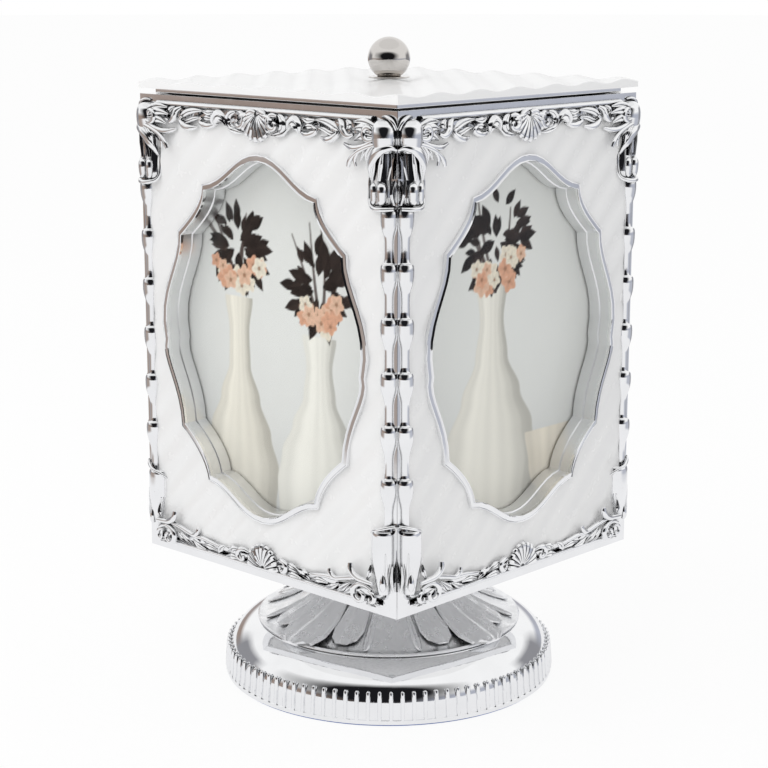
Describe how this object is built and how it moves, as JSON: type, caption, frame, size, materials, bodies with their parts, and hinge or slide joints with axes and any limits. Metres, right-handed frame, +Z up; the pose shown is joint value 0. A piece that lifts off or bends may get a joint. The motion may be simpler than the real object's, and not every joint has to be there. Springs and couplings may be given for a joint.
{
  "type": "rotating photo frame",
  "caption": "Four-sided photo frame that turns on a round base, with scalloped windows, beaded corner columns, a rippled white lid and a ball knob.",
  "frame": {"origin": "centre of the round base, on the table", "axes": "+Z up along the turning axis, -Y through the window called front, +X through the window called right"},
  "size_m": [0.1724, 0.1724, 0.3008],
  "materials": {
    "chrome_plating": "bright plated zinc casting",
    "nickel_plating": "satin nickel",
    "pearl_enamel": "pearl white enamel, glossy",
    "clear_glass": "clear sheet",
    "photo_print": "printed photo paper",
    "grey_board": "grey board",
    "zinc_steel": "zinc-plated steel",
    "black_plastic": "matt moulded plastic",
    "ivory_nylon": "moulded nylon",
    "blue_foam": "closed-cell foam"
  },
  "bodies": {
    "base": {"base_pad": "blue_foam", "base_plate": "black_plastic", "base_shell": "chrome_plating", "base_screws": "zinc_steel", "leaf_skirt": "chrome_plating", "skirt_screws": "zinc_steel", "spindle": "zinc_steel", "lower_race": "zinc_steel", "ball_cage": "ivory_nylon", "bearing_balls": "zinc_steel", "spindle_washer": "zinc_steel", "spindle_nut": "zinc_steel"},
    "turntable": {"upper_race": "zinc_steel", "floor_plate": "black_plastic", "turntable_hub": "ivory_nylon", "hub_screws": "zinc_steel", "corner_posts": "black_plastic", "corner_screws": "zinc_steel", "side_frame_front": "chrome_plating", "side_frame_right": "chrome_plating", "side_frame_back": "chrome_plating", "side_frame_left": "chrome_plating", "wave_panel_front": "pearl_enamel", "wave_panel_right": "pearl_enamel", "wave_panel_back": "pearl_enamel", "wave_panel_left": "pearl_enamel", "window_bezel_front": "chrome_plating", "window_bezel_right": "chrome_plating", "window_bezel_back": "chrome_plating", "window_bezel_left": "chrome_plating", "clear_cover_front": "clear_glass", "clear_cover_right": "clear_glass", "clear_cover_back": "clear_glass", "clear_cover_left": "clear_glass", "photo_card_front": "photo_print", "photo_card_right": "photo_print", "photo_card_back": "photo_print", "photo_card_left": "photo_print", "back_board_front": "grey_board", "back_board_right": "grey_board", "back_board_back": "grey_board", "back_board_left": "grey_board"},
    "lid": {"lid_plate": "chrome_plating", "lid_top": "pearl_enamel", "knob_washer": "chrome_plating", "ball_knob": "nickel_plating", "knob_screw": "zinc_steel"}
  },
  "joints": [
    {"name": "frame_spin", "type": "hinge", "parent": "base", "child": "turntable", "pos_m": [0, 0, 0.0606], "axis": [0, 0, 1], "continuous": true},
    {"name": "lid_lift", "type": "slide", "parent": "turntable", "child": "lid", "axis": [0, 0, 1], "range_m": [0, 0.12]}
  ]
}
